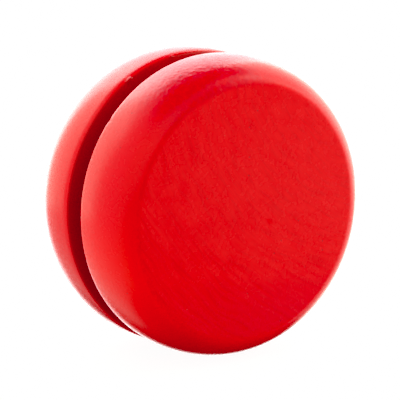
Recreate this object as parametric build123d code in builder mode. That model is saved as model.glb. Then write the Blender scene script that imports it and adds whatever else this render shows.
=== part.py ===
from build123d import *

import os
from math import radians, tan

# A turned wooden yo-yo: two round-edged halves glued on a dowel, with a gap for the string.
#
# The origin is the middle of the dowel, half way between the two halves. +Y runs along the dowel
# from the front half to the rear half. +Z is up, so the yo-yo stands on its rims, the way that it
# hangs from its string. All sizes are in millimetres.

os.makedirs("parts", exist_ok=True)

# Halves. A half's depths are counted from its inner face, which is a wall of the string gap.
DIAMETER = 55.0  # across the widest ring of a half
STRING_GAP = 4.2  # between the two inner faces
HALF_DEPTH = 12.6  # inner face to flat outer face
WIDEST_DEPTH = 3.3  # inner face to the widest ring
FLAT_DIAMETER = 45.8  # the flat outer face
RIM_DRAW_IN = 0.2  # how much the rim draws in between the widest ring and the inner face
GAP_EDGE_RADIUS = 0.5  # rounded edge between the rim and the inner face

# The dowel, and the holes that it is glued into.
DOWEL_DIAMETER = 8.0
DOWEL_LENGTH = 20.0
DOWEL_CHAMFER = 0.8
GLUE_LINE = 0.1  # thickness of the glue between the dowel and the hole
HOLE_SPARE_DEPTH = 0.5  # empty space past the dowel's end
DRILL_POINT_ANGLE = 150.0  # included angle of the cone that ends the hole
MOUTH_CHAMFER = 0.4  # at the hole's mouth, where the squeezed-out glue collects
GLUE_BEAD = 0.5  # how far that glue climbs the dowel from the inner face

# Worked out from the sizes above.
RADIUS = DIAMETER / 2
FLAT_RADIUS = FLAT_DIAMETER / 2
RIM_RADIUS = RADIUS - RIM_DRAW_IN  # the rim's radius where it meets the inner face
DOWEL_RADIUS = DOWEL_DIAMETER / 2
HOLE_RADIUS = DOWEL_RADIUS + GLUE_LINE
MOUTH_RADIUS = HOLE_RADIUS + MOUTH_CHAMFER
DOWEL_DEPTH = (DOWEL_LENGTH - STRING_GAP) / 2  # how deep the dowel sits in a half
HOLE_DEPTH = DOWEL_DEPTH + HOLE_SPARE_DEPTH
DRILL_POINT_HEIGHT = HOLE_RADIUS / tan(radians(DRILL_POINT_ANGLE / 2))
WOOD_BEHIND_HOLE = HALF_DEPTH - HOLE_DEPTH - DRILL_POINT_HEIGHT

# Each half has its own plane on its inner face. Z goes from the gap into the half, so that both
# halves, and the glue in them, are drawn the same way: X is the radius and Z is the depth.
FRONT_SEAT = Plane(origin=(0, -STRING_GAP / 2, 0), x_dir=(1, 0, 0), z_dir=(0, -1, 0))
REAR_SEAT = Plane(origin=(0, STRING_GAP / 2, 0), x_dir=(1, 0, 0), z_dir=(0, 1, 0))


def section_plane(seat):
    """The plane that half sections are drawn on: its X is the radius and its Y is the depth."""
    return Plane(origin=seat.origin, x_dir=seat.x_dir, z_dir=seat.x_dir.cross(seat.z_dir))


def turned_half(seat, name):
    """A turned half: flat inner and outer faces, a full rim that rounds over to the outer face,
    and a blind drilled hole for the dowel."""
    with BuildPart() as half:
        with BuildSketch(section_plane(seat)):
            with BuildLine():
                Polyline((FLAT_RADIUS, HALF_DEPTH), (0, HALF_DEPTH), (0, 0), (RIM_RADIUS, 0))
                # The rim swells a little from the gap to its widest ring.
                TangentArc(
                    (RADIUS, WIDEST_DEPTH), (RIM_RADIUS, 0), tangent=(0, -1), tangent_from_first=True
                )
                # A quarter of an ellipse rounds it over to the flat outer face.
                EllipticalCenterArc(
                    (FLAT_RADIUS, WIDEST_DEPTH),
                    x_radius=RADIUS - FLAT_RADIUS,
                    y_radius=HALF_DEPTH - WIDEST_DEPTH,
                    arc_size=90,
                )
            make_face()
        revolve(axis=Axis(seat.origin, seat.z_dir))

        gap_edge = half.edges().sort_by(Axis(seat.origin, seat.z_dir)).filter_by(GeomType.CIRCLE)[0]
        fillet(gap_edge, GAP_EDGE_RADIUS)

        with Locations(-seat):
            CounterSinkHole(HOLE_RADIUS, MOUTH_RADIUS, depth=HOLE_DEPTH, counter_sink_angle=90)
        with Locations(seat.offset(HOLE_DEPTH)):
            Cone(
                HOLE_RADIUS,
                0,
                DRILL_POINT_HEIGHT,
                align=(Align.CENTER, Align.CENTER, Align.MIN),
                mode=Mode.SUBTRACT,
            )
    half.part.label = name
    return half


def cured_glue(seat, name):
    """The glue between the dowel and one half: a thin sleeve, a ring round the dowel's chamfered
    end, and the bead that was squeezed out into the hole's chamfered mouth."""
    with BuildPart() as glue:
        with BuildSketch(section_plane(seat)):
            with BuildLine():
                Polyline(
                    (DOWEL_RADIUS, -GLUE_BEAD),
                    (DOWEL_RADIUS, DOWEL_DEPTH - DOWEL_CHAMFER),
                    (DOWEL_RADIUS - DOWEL_CHAMFER, DOWEL_DEPTH),
                    (HOLE_RADIUS, DOWEL_DEPTH),
                    (HOLE_RADIUS, MOUTH_CHAMFER),
                    (MOUTH_RADIUS, 0),
                )
                # The bead's surface is hollow, and rests on the mouth's edge and on the dowel.
                RadiusArc((MOUTH_RADIUS, 0), (DOWEL_RADIUS, -GLUE_BEAD), GLUE_BEAD)
            make_face()
        revolve(axis=Axis(seat.origin, seat.z_dir))
    glue.part.label = name
    return glue


front_half = turned_half(FRONT_SEAT, "front_half")
rear_half = turned_half(REAR_SEAT, "rear_half")
front_glue = cured_glue(FRONT_SEAT, "front_glue")
rear_glue = cured_glue(REAR_SEAT, "rear_glue")

# The dowel that joins the halves. Its middle is bare, and the string's loop runs on it.
with BuildPart() as axle_dowel:
    with BuildSketch(Plane.XZ):
        Circle(DOWEL_RADIUS)
    extrude(amount=DOWEL_LENGTH / 2, both=True)
    chamfer(axle_dowel.edges().filter_by(GeomType.CIRCLE), DOWEL_CHAMFER)
axle_dowel.part.label = "axle_dowel"

for piece in (front_half, rear_half, front_glue, rear_glue, axle_dowel):
    export_step(piece.part, f"parts/{piece.part.label}.step")
    print(f"{piece.part.label}: {piece.part.volume:.0f} mm3")
print(f"wood left behind each hole: {WOOD_BEHIND_HOLE:.2f} mm")
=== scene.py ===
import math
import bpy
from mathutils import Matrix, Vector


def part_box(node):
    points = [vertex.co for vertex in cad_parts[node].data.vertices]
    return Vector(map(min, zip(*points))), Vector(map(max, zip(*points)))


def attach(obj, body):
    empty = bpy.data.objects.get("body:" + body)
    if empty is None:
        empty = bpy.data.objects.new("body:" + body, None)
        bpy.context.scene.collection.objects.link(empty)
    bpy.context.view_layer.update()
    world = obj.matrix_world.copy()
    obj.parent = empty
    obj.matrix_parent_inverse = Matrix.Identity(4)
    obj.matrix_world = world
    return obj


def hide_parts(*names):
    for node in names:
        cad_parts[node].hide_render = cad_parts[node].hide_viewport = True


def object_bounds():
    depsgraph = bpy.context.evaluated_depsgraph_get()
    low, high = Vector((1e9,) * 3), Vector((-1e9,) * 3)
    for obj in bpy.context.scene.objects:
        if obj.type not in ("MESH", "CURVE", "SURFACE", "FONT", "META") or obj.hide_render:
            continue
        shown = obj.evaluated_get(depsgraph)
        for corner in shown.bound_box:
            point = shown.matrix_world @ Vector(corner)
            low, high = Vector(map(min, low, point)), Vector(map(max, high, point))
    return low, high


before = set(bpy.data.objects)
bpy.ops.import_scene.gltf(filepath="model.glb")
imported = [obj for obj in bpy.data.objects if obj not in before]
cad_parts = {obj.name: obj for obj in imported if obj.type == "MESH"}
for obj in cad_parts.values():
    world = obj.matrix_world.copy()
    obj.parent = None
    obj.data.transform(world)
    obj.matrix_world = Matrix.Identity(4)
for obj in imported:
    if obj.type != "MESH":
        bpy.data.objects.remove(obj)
cad_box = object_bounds()

# A red wooden yo-yo in a bright studio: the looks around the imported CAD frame.
#
# The two turned halves, the dowel and the glue are rebuilt as fine turned meshes, with the
# unevenness of sanded wood under satin paint. They stand for the CAD nodes of the same names.
# Meshes, lights and the camera are in metres. Surface details are in millimetres, and the
# materials work in millimetres too. The axle lies along Y, with the front half on the -Y side,
# and +Z is up.

from types import SimpleNamespace

import bmesh
import bpy
from mathutils import Vector, noise

MM = 0.001
FRONT, REAR = -1, 1

# ---------------------------------------------------------------- sizes from the CAD frame

half_low, half_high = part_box("rear_half")
RADIUS = half_high.x
INNER_FACE = half_low.y
OUTER_FACE = half_high.y
_, dowel_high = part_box("axle_dowel")
DOWEL_RADIUS = dowel_high.x
DOWEL_END = dowel_high.y
glue_low, glue_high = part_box("rear_glue")
MOUTH_RADIUS = glue_high.x
BEAD_START = glue_low.y
GLUE_END = glue_high.y

# ---------------------------------------------------------------- details of the turned shapes

RIM_DRAW_IN = 0.2 * MM
GAP_EDGE_RADIUS = 0.5 * MM
WIDEST_DEPTH = 3.3 * MM
FLAT_RADIUS = 22.9 * MM
GLUE_LINE = 0.1 * MM
HOLE_SPARE_DEPTH = 0.5 * MM
DRILL_HALF_ANGLE = 75.0
MOUTH_CHAMFER = 0.4 * MM
DOWEL_CHAMFER = 0.8 * MM

WIDEST_AT = INNER_FACE + WIDEST_DEPTH
HOLE_RADIUS = DOWEL_RADIUS + GLUE_LINE
HOLE_END = DOWEL_END + HOLE_SPARE_DEPTH
DRILL_POINT = HOLE_RADIUS / math.tan(math.radians(DRILL_HALF_ANGLE))

HALF_SEGMENTS = 540
DOWEL_SEGMENTS = 144

# Rings of mesh along each stretch, closest together where the surface's unevenness shows.
DRILL_POINT_RINGS = 3
HOLE_RINGS = 10
MOUTH_RINGS = 2
WALL_RINGS = 34
GAP_EDGE_RINGS = 7
RIM_RINGS = 9
ROUNDING_RINGS = 46
FACE_RINGS = 66
DOWEL_FACE_RINGS = 10
DOWEL_CHAMFER_RINGS = 4
DOWEL_BODY_RINGS = 90
FILM_OUTER_RINGS = 6
FILM_MOUTH_RINGS = 3
BEAD_RINGS = 7
FILM_INNER_RINGS = 12


def line(start, end, steps):
    """Points from start to end, without start."""
    (r0, y0), (r1, y1) = start, end
    return [(r0 + (r1 - r0) * k / steps, y0 + (y1 - y0) * k / steps) for k in range(1, steps + 1)]


def quarter_ellipse(centre, width, height, start_degrees, steps):
    """Points over a quarter turn about centre, without the first."""
    points = []
    for k in range(1, steps + 1):
        angle = math.radians(start_degrees) + math.pi / 2 * k / steps
        radius = centre[0] + width * math.cos(angle)
        points.append((radius, centre[1] + height * math.sin(angle)))
    return points


def half_outline():
    """(radius, height along the axle) from the drill point, out of the hole, over the gap wall
    and the rim, to the middle of the flat face."""
    points = [(0.0, HOLE_END + DRILL_POINT)]
    points += line(points[-1], (HOLE_RADIUS, HOLE_END), DRILL_POINT_RINGS)
    points += line(points[-1], (HOLE_RADIUS, INNER_FACE + MOUTH_CHAMFER), HOLE_RINGS)
    points += line(points[-1], (HOLE_RADIUS + MOUTH_CHAMFER, INNER_FACE), MOUTH_RINGS)
    edge = GAP_EDGE_RADIUS
    corner = (RADIUS - RIM_DRAW_IN - edge, INNER_FACE + edge)
    points += line(points[-1], (corner[0], INNER_FACE), WALL_RINGS)
    points += quarter_ellipse(corner, edge, edge, -90, GAP_EDGE_RINGS)
    for _, y in line(points[-1], (RADIUS, WIDEST_AT), RIM_RINGS):
        share = (WIDEST_AT - y) / (WIDEST_AT - INNER_FACE)
        points.append((RADIUS - RIM_DRAW_IN * share**2, y))
    shoulder = (FLAT_RADIUS, WIDEST_AT)
    width, height = RADIUS - FLAT_RADIUS, OUTER_FACE - WIDEST_AT
    points += quarter_ellipse(shoulder, width, height, 0, ROUNDING_RINGS)
    points += line(points[-1], (0.0, OUTER_FACE), FACE_RINGS)
    return points


def dowel_outline():
    """The whole dowel, from the middle of its front end to that of its rear end."""
    end_radius = DOWEL_RADIUS - DOWEL_CHAMFER
    body = DOWEL_END - DOWEL_CHAMFER
    points = [(0.0, -DOWEL_END)]
    points += line(points[-1], (end_radius, -DOWEL_END), DOWEL_FACE_RINGS)
    points += line(points[-1], (DOWEL_RADIUS, -body), DOWEL_CHAMFER_RINGS)
    points += line(points[-1], (DOWEL_RADIUS, body), DOWEL_BODY_RINGS)
    points += line(points[-1], (end_radius, DOWEL_END), DOWEL_CHAMFER_RINGS)
    points += line(points[-1], (0.0, DOWEL_END), DOWEL_FACE_RINGS)
    return points


def glue_outline():
    """A closed outline of the film round the dowel in one half, with its bead at the mouth."""
    inner, outer = DOWEL_RADIUS, HOLE_RADIUS
    points = [(inner, GLUE_END)]
    points += line(points[-1], (outer, GLUE_END), 1)
    points += line(points[-1], (outer, INNER_FACE + MOUTH_CHAMFER), FILM_OUTER_RINGS)
    points += line(points[-1], (outer + MOUTH_CHAMFER, INNER_FACE), FILM_MOUTH_RINGS)
    points += line(points[-1], (MOUTH_RADIUS, INNER_FACE), 1)
    hollow = (MOUTH_RADIUS, BEAD_START)
    width, height = MOUTH_RADIUS - inner, INNER_FACE - BEAD_START
    points += quarter_ellipse(hollow, width, height, 90, BEAD_RINGS)
    points += line(points[-1], (inner, GLUE_END), FILM_INNER_RINGS)[:-1]
    return points[::-1]


# ---------------------------------------------------------------- turning meshes


def outline_normals(points, closed):
    """Unit normals on the right of the outline's direction of travel, so out of the solid."""
    normals = []
    count = len(points)
    for k in range(count):
        if closed:
            before, after = points[k - 1], points[(k + 1) % count]
        else:
            before, after = points[max(k - 1, 0)], points[min(k + 1, count - 1)]
        along = Vector((after[0] - before[0], after[1] - before[1])).normalized()
        normals.append((along.y, -along.x))
    return normals


def turned_rings(bm, outline, normals, segments, side, relief):
    """A ring of vertices for each point of the outline, or a single one on the axis."""
    rings = []
    for (r, y), (nr, ny) in zip(outline, normals):
        steps = segments if r > 0 else 1
        ring = []
        for k in range(steps):
            c, s = math.cos(2 * math.pi * k / segments), math.sin(2 * math.pi * k / segments)
            point = Vector((r * c, side * y, r * s))
            normal = Vector((nr * c, side * ny, nr * s))
            ring.append(bm.verts.new(point + normal * relief(point, side)))
        rings.append(ring)
    return rings


def turn_piece(name, outline, segments, side, relief, closed=False):
    """A closed mesh turned about Y from an outline on the rear side, mirrored for the front.

    relief(point, side) says how far a point is raised, in metres. An open outline starts and
    ends on the axis, a closed one is a ring."""
    bm = bmesh.new()
    rings = turned_rings(bm, outline, outline_normals(outline, closed), segments, side, relief)
    pairs = list(zip(rings, rings[1:]))
    if closed:
        pairs.append((rings[-1], rings[0]))
    for a, b in pairs:
        for k in range(segments):
            j = (k + 1) % segments
            corners = [a[k % len(a)], b[k % len(b)], b[j % len(b)], a[j % len(a)]]
            bm.faces.new(list(dict.fromkeys(corners)))
    bmesh.ops.recalc_face_normals(bm, faces=bm.faces)
    mesh = bpy.data.meshes.new(name)
    bm.to_mesh(mesh)
    bm.free()
    mesh.shade_smooth()
    piece = bpy.data.objects.new(name, mesh)
    bpy.context.scene.collection.objects.link(piece)
    return piece


# ---------------------------------------------------------------- unevenness of the surfaces

# Sizes from here to the end of the materials are in millimetres. Only the reliefs that
# turn_piece takes return metres.
RADIUS_MM = RADIUS / MM
FLAT_MM = FLAT_RADIUS / MM
INNER_MM = INNER_FACE / MM

# Marks as (place, width, height). Heights above 0 fill the slack that the sanded surface leaves
# under the turned shape.
FACE_MARKS = (
    ((4.4, -14.7, -2.4), 0.50, -0.060),
    ((4.9, -14.7, -1.7), 0.30, 0.030),
    ((3.7, -14.7, -2.9), 0.30, 0.025),
    ((19.4, -14.7, -7.8), 0.90, -0.020),
    ((18.2, -14.7, -8.6), 0.60, -0.018),
    ((14.9, -14.6, 17.4), 0.40, -0.035),
)
EDGE_NIBS = (
    ((-13.9, 2.1, 23.2), 0.42, 0.36),
    ((-14.6, 2.0, 22.8), 0.30, 0.26),
    ((-5.0, 2.1, 26.5), 0.26, 0.18),
    ((-26.7, 3.0, -6.1), 0.22, 0.14),
    ((-21.3, -2.5, 17.2), 0.50, -0.12),
    ((-24.9, -2.2, 10.6), 0.40, -0.08),
)
MARKS = [(Vector(place), width, height) for place, width, height in FACE_MARKS + EDGE_NIBS]
MARK_REACH = 3.0  # in widths
NIB_TOP = 0.12  # how far a nib may stand out of the turned shape, near the gap only
NIB_ZONE = 3.4

OUTER_ZONE = 9.0  # further along the axle than this come the rounding's top and the face
BROAD_SIZE, BROAD_DEPTH = 11.0, 0.022
COAT_SIZE, COAT_DEPTH, FACE_COAT_DEPTH = 3.2, 0.005, 0.002
PEEL_SIZE, PEEL_DEPTH, FACE_PEEL_DEPTH = 1.05, 0.0015, 0.0004

# The part of the front half's upper shoulder that was sanded by hand.
HAND_PLACE = Vector((-9.0, -12.5, 24.0))
HAND_REACH = 9.0
HAND_COAT_DEPTH = 0.010
HAND_PEEL_DEPTH = 0.015
STROKE_LIFT = 0.013
STROKE_ANGLE, STROKE_SPREAD = 103.0, 26.0  # degrees round the axle
STROKE_OFFSET, STROKE_WIDTH = 1.25, 0.95  # outward from the flat face
STROKE_MEAN, STROKE_VARIATION = 0.6, 0.8
STROKES_PER_DEGREE, STROKES_PER_MM = 0.45, 0.5

GROOVE_DEPTH, GROOVE_WIDTH, GROOVE_OFFSET = 0.004, 0.35, 0.30
GROOVE_WANDER, WANDER_SIZE = 0.20, 2.0
RAGGED_MEAN, RAGGED_VARIATION, RAGGED_SIZE = 0.5, 0.9, 0.9

# The rear half's gap edge is worn rounder, most of all at the top.
WORN_REACH, WORN_WIDTH = 2.5, 0.8
WORN_DEPTH, WORN_TOP_DEPTH = 0.03, 0.22

NOISE_SHIFT = 40.0  # between the noise on the two halves
FIBRE_DEPTH = 0.006
FIBRES_ACROSS, FIBRES_ALONG = 2.5, 0.12  # per millimetre
BEAD_LUMP_DEPTH = 0.05
BEAD_LUMP_SCALE = 0.9


def bell(distance, width):
    """1 at no distance, and 1/e at width."""
    return math.exp(-((distance / width) ** 2))


def marks_height(p):
    """What the marks near a point add to its height."""
    height = 0.0
    for place, width, top in MARKS:
        distance = (p - place).length
        if distance < MARK_REACH * width:
            height += top * bell(distance, width)
    return height


def sanding_depth(p, apart, on_face):
    """Broad unevenness from sanding, then finer waves and orange peel from the paint."""
    by_hand = bell((p - HAND_PLACE).length, HAND_REACH)
    coat = FACE_COAT_DEPTH if on_face else COAT_DEPTH + HAND_COAT_DEPTH * by_hand
    peel = FACE_PEEL_DEPTH if on_face else PEEL_DEPTH + HAND_PEEL_DEPTH * by_hand
    depth = BROAD_DEPTH * (1 - noise.noise(p / BROAD_SIZE + apart))
    depth += coat * (1 - noise.noise(p / COAT_SIZE + apart))
    return depth + peel * (1 - noise.noise(p / PEEL_SIZE + apart))


def groove_depth(p, apart, from_flat):
    """A faint groove round the flat face, which wanders and breaks off."""
    wander = GROOVE_WANDER * noise.noise(p / WANDER_SIZE + apart)
    ragged = max(RAGGED_MEAN + RAGGED_VARIATION * noise.noise(p / RAGGED_SIZE - apart), 0.0)
    return GROOVE_DEPTH * ragged * bell(from_flat - GROOVE_OFFSET - wander, GROOVE_WIDTH)


def stroke_lift(p, radius, from_flat):
    """Strokes of the hand sanding along the front half's upper shoulder."""
    angle = math.degrees(math.atan2(p.z, p.x))
    stroke = Vector((angle * STROKES_PER_DEGREE, radius * STROKES_PER_MM, 0))
    strokes = STROKE_MEAN + STROKE_VARIATION * noise.noise(stroke)
    across = bell(from_flat - STROKE_OFFSET, STROKE_WIDTH)
    return STROKE_LIFT * strokes * bell(angle - STROKE_ANGLE, STROKE_SPREAD) * across


def worn_edge_depth(p, radius, height):
    """What wear takes off the rear half's gap edge."""
    from_edge = math.hypot(radius - RADIUS_MM, height - INNER_MM)
    if from_edge >= WORN_REACH:
        return 0.0
    upper = 0.5 + 0.5 * p.z / radius
    return (WORN_DEPTH + WORN_TOP_DEPTH * upper**3) * bell(from_edge, WORN_WIDTH)


def sanded_wood(point, side):
    """How far the painted surface stands over the turned shape, in metres. It is mostly below."""
    p = point / MM
    apart = Vector((0, NOISE_SHIFT * side, 0))
    radius = math.hypot(p.x, p.z)
    height = abs(p.y)
    from_flat = radius - FLAT_MM

    depth = sanding_depth(p, apart, height > OUTER_ZONE and from_flat < 0)
    if height > OUTER_ZONE:
        depth += groove_depth(p, apart, from_flat)
        if side == FRONT:
            depth -= stroke_lift(p, radius, from_flat)
    if side == REAR:
        depth += worn_edge_depth(p, radius, height)
    lift = marks_height(p) - depth
    return min(lift, NIB_TOP if height < NIB_ZONE else 0.0) * MM


def dowel_fibres(point, side):
    """Fine ridges along the dowel's fibres."""
    p = point / MM
    drawn = Vector((p.x * FIBRES_ACROSS, p.y * FIBRES_ALONG, p.z * FIBRES_ACROSS))
    return -FIBRE_DEPTH * MM * (1 + noise.noise(drawn))


def squeezed_glue(point, side):
    """A lumpy bead on the gap side, and an even film inside the hole."""
    if abs(point.y) > INNER_FACE:
        return 0.0
    return -BEAD_LUMP_DEPTH * MM * (1 + noise.noise(point / MM * BEAD_LUMP_SCALE))


# ---------------------------------------------------------------- node trees


class Nodes:
    """Short calls for building a node tree. A value that is a socket is linked."""

    def __init__(self, tree):
        self.tree = tree
        tree.nodes.clear()

    def put(self, socket, value):
        if isinstance(value, bpy.types.NodeSocket):
            self.tree.links.new(value, socket)
        else:
            socket.default_value = value

    def add(self, kind, values=(), **settings):
        node = self.tree.nodes.new(kind)
        for key, value in settings.items():
            setattr(node, key, value)
        for socket, value in dict(values).items():
            self.put(node.inputs[socket], value)
        return node

    def math(self, operation, *values):
        inputs = dict(enumerate(values))
        return self.add("ShaderNodeMath", inputs, operation=operation).outputs[0]

    def times(self, first, *others):
        product = first
        for other in others:
            product = self.math("MULTIPLY", product, other)
        return product

    def vector(self, operation, *values):
        inputs = dict(enumerate(values))
        return self.add("ShaderNodeVectorMath", inputs, operation=operation).outputs[0]

    def scaled(self, vector, factor):
        values = {0: vector, "Scale": factor}
        return self.add("ShaderNodeVectorMath", values, operation="SCALE").outputs[0]

    def length(self, vector):
        values = {0: vector}
        return self.add("ShaderNodeVectorMath", values, operation="LENGTH").outputs["Value"]

    def distance(self, a, b):
        values = {0: a, 1: b}
        return self.add("ShaderNodeVectorMath", values, operation="DISTANCE").outputs["Value"]

    def axes(self, vector):
        """The x, y and z of a vector."""
        split = self.add("ShaderNodeSeparateXYZ", {"Vector": vector}).outputs
        return split["X"], split["Y"], split["Z"]

    def ramp(self, value, low, high, to_low=0.0, to_high=1.0):
        """A smooth step from to_low at low to to_high at high."""
        values = {"Value": value, 1: low, 2: high, 3: to_low, 4: to_high}
        node = self.add("ShaderNodeMapRange", values, interpolation_type="SMOOTHSTEP")
        return node.outputs["Result"]

    def millimetres(self):
        """The place on the object in millimetres."""
        return self.scaled(self.add("ShaderNodeTexCoord").outputs["Object"], 1 / MM)

    def noise(self, place, per_mm, detail=2.0, rough=0.5):
        values = {"Vector": place, "Scale": per_mm, "Detail": detail, "Roughness": rough}
        return self.add("ShaderNodeTexNoise", values).outputs["Fac"]

    def mix(self, share, a, b):
        node = self.add("ShaderNodeMix", data_type="RGBA")
        self.put(node.inputs["Factor"], share)
        self.put(node.inputs[6], a)
        self.put(node.inputs[7], b)
        return node.outputs[2]

    def bump(self, height, depth, below=None):
        """The normal below, tilted by a height map from 0 to 1 that stands for depth in mm."""
        values = {"Height": height, "Strength": 1.0, "Distance": depth * MM}
        if below is not None:
            values["Normal"] = below
        return self.add("ShaderNodeBump", values).outputs[0]

    def finish(self, kind, shader):
        output = self.add(kind)
        self.put(output.inputs["Surface"], shader.outputs[0])


def new_material(name):
    material = bpy.data.materials.new(name)
    material.use_nodes = True
    return material, Nodes(material.node_tree)


def solid_surface(n, color, roughness, normal, ior=1.5):
    values = {"Base Color": color, "Roughness": roughness, "IOR": ior, "Normal": normal}
    n.finish("ShaderNodeOutputMaterial", n.add("ShaderNodeBsdfPrincipled", values))


# ---------------------------------------------------------------- red paint

PAINT_RED = (0.835, 0.0055, 0.009, 1)
PAINT_LIT_RED = (0.88, 0.021, 0.021, 1)
PAINT_DEEP_RED = (0.64, 0.0015, 0.005, 1)
# Painted shade: the dark band on the upper shoulder and the darker lower parts are mixed towards
# this red.
PAINTED_SHADE_RED = (0.63, 0.002, 0.026, 1)
# Painted light: the front half's lower left rounding is mixed towards this lighter red.
PAINTED_LIGHT_RED = (0.98, 0.010, 0.005, 1)
# Painted shade on the paint's gap walls, and also the red of the spray on the dowel.
SHADED_GAP_AND_SPRAY_RED = (0.50, 0.001, 0.001, 1)
PIT_RED = (0.25, 0.001, 0.002, 1)
DUST_PINK = (0.85, 0.25, 0.22, 1)

# The growth rings' common centre is far outside the blank. They bend by up to RING_BEND, and a
# streak's length is given by the features per radian along its arc.
RING_CENTRE = (38.0, 0.0, 36.0)
RING_BEND, RING_BEND_SCALE = 2.5, 0.12
STREAKS_PER_RADIAN = 4.0
HAIR_RING_SCALE, FINE_RING_SCALE, BROAD_RING_SCALE = 2.8, 1.8, 0.7

# Fades run from none to full between two values, or from the third value to the fourth.
OUTER_FADE = (9.0, 11.0)
FACE_EDGE_FADE = (FLAT_MM + 0.5, FLAT_MM - 0.3)
# Where the painted shade of the gap walls fades in.
SHADED_WALL_FADE = (INNER_MM + 0.45, INNER_MM + 0.08)
# The band and the two lower fades below place painted shade, not a paint tone.
BAND_PLACE = (-7.5, -12.0, 23.0)  # middle of the crimson band on the upper shoulder
BAND_FADE = (16.0, 7.0)
BAND_RAGGED_FADE = (0.30, 0.62, 0.35, 1.0)
UNDERNEATH_FADE = (-12.0, -25.0, 0.0, 0.35)
FACE_FOOT_FADE = (-9.0, -22.0, 0.0, 0.60)
# The next three fades place the painted light on the front half's lower left rounding.
PAINTED_LIGHT_LEFT_FADE = (-10.0, -22.0)
PAINTED_LIGHT_LOW_FADE = (6.0, -10.0)
PAINTED_LIGHT_FRONT_FADE = (1.0, -1.0)
CREASE_OFFSET = 0.30
CREASE_FADE = (0.60, 0.05)
CREASE_UNEVEN_FADE = (0.30, 0.60, 0.1, 0.4)
CREASE_LEFT_FADE = (6.0, -6.0)
HAND_PEEL_FADE = (15.0, 5.0, 0.12, 1.0)
STIPPLE_FADE = (0.0, 1.0, 0.3, 1.0)
PAINT_ROUGHNESS = (0.24, 0.29)

# Round spots, in a share of the cells of a pattern, up to the largest radius.
PITS = {"cells_per_mm": 0.55, "largest": 0.11, "share": 0.22}
DUST = {"cells_per_mm": 0.38, "largest": 0.09, "share": 0.12}
SPOT_EDGE = 0.04

# Noise sizes, as features per millimetre.
STIPPLE_SCALE = 2.6
SPECK_SCALE = 2.8
PEEL_SCALE = 1.3
BLOTCH_SCALE = 0.8
BAND_EDGE_SCALE = 0.9
CLOUD_SCALE = 0.16

# How far each pattern takes the paint's colour towards its own. A noise lies mostly between 0.3
# and 0.7, so a pattern drawn from one fades in about there.
CLOUD_SHARE = 0.15
BLOTCH_SHARE = 0.10
FACE_SHARE = 0.22
GRAIN_SHARE = 0.36
HAIR_SHARE = 0.42
SPECK_SHARE = 0.10
PAINTED_SHADE_SHARE = 0.70
PIT_SHARE = 0.8
DUST_SHARE = 0.5

# Bump depths.
BROAD_RING_BUMP = 0.005
FINE_RING_BUMP = 0.022
HAIR_RING_BUMP = 0.006
PEEL_BUMP = 0.09
STIPPLE_BUMP = 0.0015
SPOT_BUMP = 0.02


def growth_rings(n, place):
    """Streaks along arcs about a far centre: the growth rings of the blank, seen end on.
    Returned as hair-fine, fine and broad streaks."""
    flat = n.vector("MULTIPLY", place, (1, 0, 1))
    bend = n.add("ShaderNodeTexNoise", {"Vector": flat, "Scale": RING_BEND_SCALE, "Detail": 1.0})
    bent = n.vector("ADD", flat, n.scaled(bend.outputs["Color"], RING_BEND))
    out = n.vector("SUBTRACT", bent, RING_CENTRE)
    x, _, z = n.axes(out)
    along = n.times(n.math("ARCTAN2", z, x), STREAKS_PER_RADIAN)
    streak = n.add("ShaderNodeCombineXYZ", {"X": n.length(out), "Y": along}).outputs[0]
    hair = n.noise(streak, HAIR_RING_SCALE, 0.0)
    fine = n.noise(streak, FINE_RING_SCALE, 0.5)
    broad = n.noise(streak, BROAD_RING_SCALE, 1.0)
    return hair, fine, broad


def speckles(n, place, cells_per_mm, largest, share):
    """1 inside small round spots, 0 elsewhere."""
    cells = n.add("ShaderNodeTexVoronoi", {"Vector": place, "Scale": cells_per_mm})
    random = n.add("ShaderNodeSeparateColor", {"Color": cells.outputs["Color"]}).outputs
    size = n.times(random["Green"], largest * cells_per_mm)
    past_edge = n.math("SUBTRACT", cells.outputs["Distance"], size)
    spot = n.ramp(past_edge, 0.0, SPOT_EDGE, 1.0, 0.0)
    return n.times(spot, n.math("LESS_THAN", random["Red"], share))


def paint_zones(n):
    """Where a point lies on a half. A zone is 1 inside and fades to 0 over its border."""
    place = n.millimetres()
    x, y, z = n.axes(place)
    radius = n.length(n.vector("MULTIPLY", place, (1, 0, 1)))
    height = n.math("ABSOLUTE", y)
    outer = n.ramp(height, *OUTER_FADE)
    face = n.times(n.ramp(radius, *FACE_EDGE_FADE), outer)
    return SimpleNamespace(
        place=place,
        x=x,
        y=y,
        z=z,
        radius=radius,
        outer=outer,
        face=face,
        rounding=n.math("SUBTRACT", 1.0, face),
        wall=n.ramp(height, *SHADED_WALL_FADE),
    )


def drifting_red(n, zone, blotch):
    """The paint's own red, lighter in clouds, deeper in blotches and on the flat face."""
    cloud = n.noise(zone.place, CLOUD_SCALE, 3.0, 0.55)
    color = n.mix(n.ramp(cloud, 0.35, 0.70, 0.0, CLOUD_SHARE), PAINT_RED, PAINT_LIT_RED)
    color = n.mix(n.ramp(blotch, 0.45, 0.80, 0.0, BLOTCH_SHARE), color, PAINT_DEEP_RED)
    return n.mix(n.times(zone.face, FACE_SHARE), color, PAINT_DEEP_RED)


def grained_red(n, color, zone, hair, fine):
    """The wood's grain showing in the paint of the flat face, and specks all over."""
    grain = n.times(n.ramp(fine, 0.50, 0.70), zone.face, GRAIN_SHARE)
    color = n.mix(grain, color, PAINT_DEEP_RED)
    hairs = n.times(n.ramp(hair, 0.42, 0.68), zone.face, HAIR_SHARE)
    color = n.mix(hairs, color, PAINT_LIT_RED)
    speck = n.noise(zone.place, SPECK_SCALE, 0.0)
    color = n.mix(n.ramp(speck, 0.45, 0.70, 0.0, SPECK_SHARE), color, PAINT_LIT_RED)
    return n.mix(n.ramp(speck, 0.55, 0.30, 0.0, SPECK_SHARE), color, PAINT_DEEP_RED)


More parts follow.
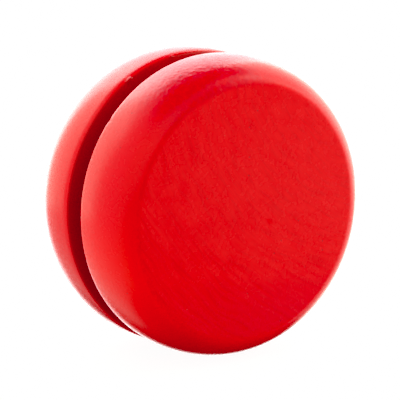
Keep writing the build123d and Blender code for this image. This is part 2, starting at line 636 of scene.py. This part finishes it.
def painted_shade_places(n, zone):
    """Painted shade: a ragged dark band on the front half's upper shoulder, and darker lower
    parts of both halves.
    """
    ragged = n.ramp(n.noise(zone.place, BAND_EDGE_SCALE, 4.0, 0.7), *BAND_RAGGED_FADE)
    near_band = n.ramp(n.distance(zone.place, BAND_PLACE), *BAND_FADE)
    band = n.times(near_band, zone.rounding, ragged)
    underneath = n.times(n.ramp(zone.z, *UNDERNEATH_FADE), zone.rounding)
    face_foot = n.times(n.ramp(zone.z, *FACE_FOOT_FADE), zone.face)
    return n.math("MAXIMUM", band, n.math("ADD", underneath, face_foot))


def painted_light_place(n, zone):
    """Painted light: the front half's lower left rounding, made lighter and warmer."""
    left = n.ramp(zone.x, *PAINTED_LIGHT_LEFT_FADE)
    low = n.ramp(zone.z, *PAINTED_LIGHT_LOW_FADE)
    front = n.ramp(zone.y, *PAINTED_LIGHT_FRONT_FADE)
    return n.times(left, low, front, zone.rounding)


def painted_crease_shade(n, zone, blotch):
    """Painted shade: a darker line round the flat face, uneven, and fading out on its right."""
    from_crease = n.math("ABSOLUTE", n.math("SUBTRACT", zone.radius, FLAT_MM + CREASE_OFFSET))
    round_face = n.times(n.ramp(from_crease, *CREASE_FADE), zone.outer)
    uneven = n.ramp(blotch, *CREASE_UNEVEN_FADE)
    return n.times(round_face, uneven, n.ramp(zone.x, *CREASE_LEFT_FADE))


def paint_relief(n, zone, rings, pits, dust):
    """Streaks and stipple on the flat faces, and orange peel on the roundings, which is
    roughest where the front half was sanded by hand."""
    hair, fine, broad = rings
    rough = n.ramp(n.distance(zone.place, HAND_PLACE), *HAND_PEEL_FADE)
    peel = n.times(n.noise(zone.place, PEEL_SCALE, 3.0), n.times(zone.rounding, rough))
    stipple = n.times(n.noise(zone.place, STIPPLE_SCALE, 0.0), n.ramp(zone.face, *STIPPLE_FADE))
    normal = n.bump(n.times(broad, zone.face), BROAD_RING_BUMP)
    normal = n.bump(n.times(fine, zone.face), FINE_RING_BUMP, normal)
    normal = n.bump(n.times(hair, zone.face), HAIR_RING_BUMP, normal)
    normal = n.bump(peel, PEEL_BUMP, normal)
    normal = n.bump(stipple, STIPPLE_BUMP, normal)
    return n.bump(n.math("SUBTRACT", dust, pits), SPOT_BUMP, normal)


def red_paint():
    """Satin red paint over turned wood, with painted shade making it dark on the gap walls."""
    material, n = new_material("satin_red_paint")
    zone = paint_zones(n)
    blotch = n.noise(zone.place, BLOTCH_SCALE, 2.0)
    rings = growth_rings(n, zone.place)
    hair, fine, _ = rings
    pits = speckles(n, zone.place, **PITS)
    dust = speckles(n, zone.place, **DUST)

    color = drifting_red(n, zone, blotch)
    color = grained_red(n, color, zone, hair, fine)
    # Painted shade: the dark shoulder band and the darker lower parts.
    color = n.mix(n.times(painted_shade_places(n, zone), PAINTED_SHADE_SHARE), color, PAINTED_SHADE_RED)
    # Painted light on the front half's lower left rounding.
    color = n.mix(painted_light_place(n, zone), color, PAINTED_LIGHT_RED)
    # Painted shade in the crease round the flat face.
    color = n.mix(painted_crease_shade(n, zone, blotch), color, PAINT_DEEP_RED)
    color = n.mix(n.times(pits, PIT_SHARE), color, PIT_RED)
    color = n.mix(n.times(dust, DUST_SHARE), color, DUST_PINK)
    # Painted shade: the gap walls darkened.
    color = n.mix(zone.wall, color, SHADED_GAP_AND_SPRAY_RED)

    roughness = n.ramp(blotch, 0.3, 0.7, *PAINT_ROUGHNESS)
    solid_surface(n, color, roughness, paint_relief(n, zone, rings, pits, dust))
    return material


# ---------------------------------------------------------------- dowel wood and glue

BIRCH_LIGHT = (0.88, 0.73, 0.53, 1)
BIRCH_DARK = (0.70, 0.52, 0.34, 1)
FIBRE_STRETCH = (1, 0.08, 1)  # draws the grain out along the axle
BIRCH_GRAIN_SCALE = 1.8
PORE_SCALE = 7.0
SPRAY_FADE = (0.9, INNER_MM)
BIRCH_ROUGHNESS = (0.50, 0.66)
PORE_SHARE = 0.6
SPRAY_SHARE = 0.4
GRAIN_BUMP = 0.03
PORE_BUMP = 0.02


def birch():
    """Pale dowel wood with its grain along the axle, and a breath of red spray near the walls."""
    material, n = new_material("birch_dowel")
    place = n.millimetres()
    drawn = n.vector("MULTIPLY", place, FIBRE_STRETCH)
    grain = n.noise(drawn, BIRCH_GRAIN_SCALE, 4.0, 0.6)
    pores = n.noise(drawn, PORE_SCALE)
    color = n.mix(n.ramp(grain, 0.35, 0.65), BIRCH_LIGHT, BIRCH_DARK)
    color = n.mix(n.ramp(pores, 0.58, 0.75, 0.0, PORE_SHARE), color, BIRCH_DARK)
    _, y, _ = n.axes(place)
    near_wall = n.ramp(n.math("ABSOLUTE", y), *SPRAY_FADE)
    spray = n.times(near_wall, n.ramp(grain, 0.3, 0.7), SPRAY_SHARE)
    color = n.mix(spray, color, SHADED_GAP_AND_SPRAY_RED)
    normal = n.bump(pores, PORE_BUMP, n.bump(grain, GRAIN_BUMP))
    solid_surface(n, color, n.ramp(grain, 0.3, 0.7, *BIRCH_ROUGHNESS), normal)
    return material


GLUE_AMBER = (0.62, 0.40, 0.17, 1)
GLUE_CLOUDY = (0.78, 0.66, 0.46, 1)
GLUE_IOR = 1.47
GLUE_BUMP = 0.02
GLUE_CLOUD_SCALE, GLUE_FINE_SCALE = 1.2, 4.0
GLUE_ROUGHNESS = (0.22, 0.40)


def wood_glue():
    """Dried wood glue, amber with cloudy patches."""
    material, n = new_material("dried_glue")
    place = n.millimetres()
    cloud = n.noise(place, GLUE_CLOUD_SCALE, 3.0)
    color = n.mix(n.ramp(cloud, 0.35, 0.65), GLUE_AMBER, GLUE_CLOUDY)
    normal = n.bump(n.noise(place, GLUE_FINE_SCALE), GLUE_BUMP)
    roughness = n.ramp(cloud, 0.3, 0.7, *GLUE_ROUGHNESS)
    solid_surface(n, color, roughness, normal, GLUE_IOR)
    return material


# ---------------------------------------------------------------- the pieces


def stand_for(piece, node, material):
    piece.data.materials.append(material)
    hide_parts(node)
    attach(piece, "root")


def build_yoyo():
    paint, wood, glue = red_paint(), birch(), wood_glue()
    for end, side in (("front", FRONT), ("rear", REAR)):
        name = "painted_" + end + "_half"
        half = turn_piece(name, half_outline(), HALF_SEGMENTS, side, sanded_wood)
        stand_for(half, end + "_half", paint)
        name = "glue_" + end
        bead = turn_piece(name, glue_outline(), DOWEL_SEGMENTS, side, squeezed_glue, closed=True)
        stand_for(bead, end + "_glue", glue)
    dowel = turn_piece("dowel", dowel_outline(), DOWEL_SEGMENTS, REAR, dowel_fibres)
    stand_for(dowel, "axle_dowel", wood)


# ---------------------------------------------------------------- studio light

CARD_WHITE = (1.0, 1.0, 0.77)
WARM_WHITE = (1.0, 1.0, 0.87)
COOL_WHITE = (1.0, 1.0, 1.02)
FILL_WHITE = (1.0, 1.0, 0.87, 1)
FILL_FRONT_WHITE = (1.0, 1.0, 0.78, 1)

# The fill light's fades, over the x, y or z of its direction, written as the paint's are.
FILL_RADIANCE = 1.03
FRONT_TURN = 0.25  # turns the fill light's right edge round towards the front
RIGHT_FADE = (0.12, -0.14)
TOP_FADE = (0.98, 0.82)
FLOOR_FADE = (-0.98, -0.74)
FLOOR_BEHIND_FADE = (-0.10, 0.50, 0.0, 0.35)
HIGHER_FADE = (-0.20, 0.50, 1.0, 1.12)
FRONTAL_FADE = (-0.15, -0.85)
LOW_FADE = (0.35, -0.55, -0.02, 0.52)
TINT_FADE = (0.25, -0.25)
CEILING_FADE = (0.84, 0.95, 0.0, 0.38)


def direction(azimuth, elevation):
    """Unit vector. Azimuth 0 is in front of the front face, 90 on its right."""
    a, e = math.radians(azimuth), math.radians(elevation)
    return Vector((math.sin(a) * math.cos(e), -math.cos(a) * math.cos(e), math.sin(e)))


def softbox(name, at, distance, size, radiance, color=WARM_WHITE):
    """A rectangular area light aimed at the object, which the camera doesn't see. at is its
    azimuth and elevation in degrees, and size its width and height."""
    width, height = size
    data = bpy.data.lights.new(name, "AREA")
    data.shape = "RECTANGLE"
    data.color = color
    data.size, data.size_y = width, height
    data.energy = radiance * math.pi * width * height
    light = bpy.data.objects.new(name, data)
    place = direction(*at)
    light.location = place * distance
    light.rotation_mode = "QUATERNION"
    light.rotation_quaternion = place.to_track_quat("Z", "Y")
    light.visible_camera = False
    bpy.context.scene.collection.objects.link(light)


def studio_lights():
    softbox("right_softbox", (91, 9), 0.40, (0.70, 0.87), 2.10)
    softbox("right_core_softbox", (80, 6), 0.40, (0.36, 0.24), 1.00)
    softbox("front_high_softbox", (42, 42), 0.60, (0.32, 0.62), 1.17, CARD_WHITE)
    softbox("front_card", (33, 3), 0.50, (0.29, 0.33), 0.81, CARD_WHITE)
    softbox("front_low_card", (42, -22), 0.50, (0.28, 0.25), 0.50, CARD_WHITE)
    softbox("back_softbox", (158, 12), 1.00, (0.93, 1.80), 2.66, COOL_WHITE)
    softbox("back_left_softbox", (-165, 17), 1.00, (1.14, 1.06), 0.78, CARD_WHITE)
    softbox("back_high_softbox", (180, 45), 1.00, (1.50, 0.40), 0.38, COOL_WHITE)
    softbox("back_table_bounce", (142, -25), 1.00, (1.25, 0.50), 0.60)


def fill_level(n, x, y, z):
    """Even light from the left side and the front. It fades out to the right, straight above and
    straight below, where some stays behind the object and on its left. It is a little stronger
    from high up, and dimmer from low in front."""
    across = n.math("MULTIPLY_ADD", n.math("MINIMUM", y, 0.0), FRONT_TURN, x)
    left = n.ramp(across, *RIGHT_FADE)
    below_top = n.ramp(z, *TOP_FADE)
    floor_behind = n.ramp(n.math("SUBTRACT", y, x), *FLOOR_BEHIND_FADE)
    above_floor = n.math("MAXIMUM", n.ramp(z, *FLOOR_FADE), floor_behind)
    higher = n.ramp(z, *HIGHER_FADE)
    frontal_low = n.times(n.ramp(y, *FRONTAL_FADE), n.ramp(z, *LOW_FADE))
    dim = n.math("SUBTRACT", 1.0, frontal_low)
    return n.times(left, below_top, above_floor, higher, dim, FILL_RADIANCE)


def studio_world():
    """The fill light, whiter from behind, and a dim ceiling."""
    world = bpy.data.worlds.new("studio")
    world.use_nodes = True
    n = Nodes(world.node_tree)
    x, y, z = n.axes(n.add("ShaderNodeTexCoord").outputs["Generated"])
    level = n.math("MAXIMUM", fill_level(n, x, y, z), n.ramp(z, *CEILING_FADE))
    tint = n.mix(n.ramp(y, *TINT_FADE), FILL_WHITE, FILL_FRONT_WHITE)
    background = n.add("ShaderNodeBackground", {"Color": tint, "Strength": level})
    n.finish("ShaderNodeOutputWorld", background)
    bpy.context.scene.world = world


# ---------------------------------------------------------------- studio set

BACKDROP_RADIUS = 3.0
BACKDROP_GLOW = 1.0
FLOOR_SIZE = 3.2
FLOOR_GLOW = 0.96
FLOOR_SHADE = 0.06


def stage_piece(name, bm, glow, shade):
    """Part of the set: white for the camera, and with no effect on the object's light."""
    mesh = bpy.data.meshes.new(name)
    bm.to_mesh(mesh)
    bm.free()
    piece = bpy.data.objects.new(name, mesh)
    bpy.context.scene.collection.objects.link(piece)
    piece.visible_diffuse = False
    piece.visible_glossy = False
    piece.visible_transmission = False
    piece.visible_shadow = False
    material, n = new_material(name)
    shader = n.add("ShaderNodeBsdfDiffuse", {"Color": (shade, shade, shade, 1)})
    light = n.add("ShaderNodeEmission", {"Strength": glow})
    both = n.add("ShaderNodeAddShader", {0: shader.outputs[0], 1: light.outputs[0]})
    n.finish("ShaderNodeOutputMaterial", both)
    mesh.materials.append(material)


def studio_set():
    """A floor under the object, and a sphere round the whole set."""
    floor = bmesh.new()
    bmesh.ops.create_grid(floor, x_segments=4, y_segments=4, size=FLOOR_SIZE)
    bmesh.ops.translate(floor, verts=floor.verts, vec=(0, 0, cad_box[0].z))
    stage_piece("white_floor", floor, FLOOR_GLOW, FLOOR_SHADE)
    backdrop = bmesh.new()
    bmesh.ops.create_icosphere(backdrop, subdivisions=4, radius=BACKDROP_RADIUS)
    stage_piece("white_backdrop", backdrop, BACKDROP_GLOW, 0.0)


# ---------------------------------------------------------------- camera and picture

CAMERA_AZIMUTH = -34.1
CAMERA_ELEVATION = 11.9
CAMERA_DISTANCE = 0.3978
CAMERA_LENS = 195.6
CAMERA_SENSOR = 36.0
CAMERA_AIM_LEFT = 0.275 * MM
CAMERA_AIM_DOWN = 0.115 * MM
BLACK_LEVEL = (0.0, 0.046, 0.036)
DEEPEST_BLUE = 0.003
BLUE_CURVE = 2


def photo_camera():
    data = bpy.data.cameras.new("camera")
    data.lens = CAMERA_LENS
    data.sensor_width = CAMERA_SENSOR
    camera = bpy.data.objects.new("camera", data)
    back = direction(CAMERA_AZIMUTH, CAMERA_ELEVATION)
    right = Vector((0, 0, 1)).cross(back).normalized()
    up = back.cross(right)
    aim = -CAMERA_AIM_LEFT * right - CAMERA_AIM_DOWN * up
    camera.location = aim + back * CAMERA_DISTANCE
    camera.rotation_mode = "QUATERNION"
    camera.rotation_quaternion = back.to_track_quat("Z", "Y")
    bpy.context.scene.collection.objects.link(camera)
    bpy.context.scene.camera = camera


def picture_look():
    """Standard view, with a deeper black in green and blue that keeps the red pure."""
    view = bpy.context.scene.view_settings
    view.view_transform = "Standard"
    view.use_curve_mapping = True
    curves = view.curve_mapping
    curves.black_level = BLACK_LEVEL
    curves.extend = "HORIZONTAL"
    curves.curves[BLUE_CURVE].points[0].location = (0.0, DEEPEST_BLUE)
    curves.update()


build_yoyo()
studio_world()
studio_lights()
studio_set()
photo_camera()
picture_look()
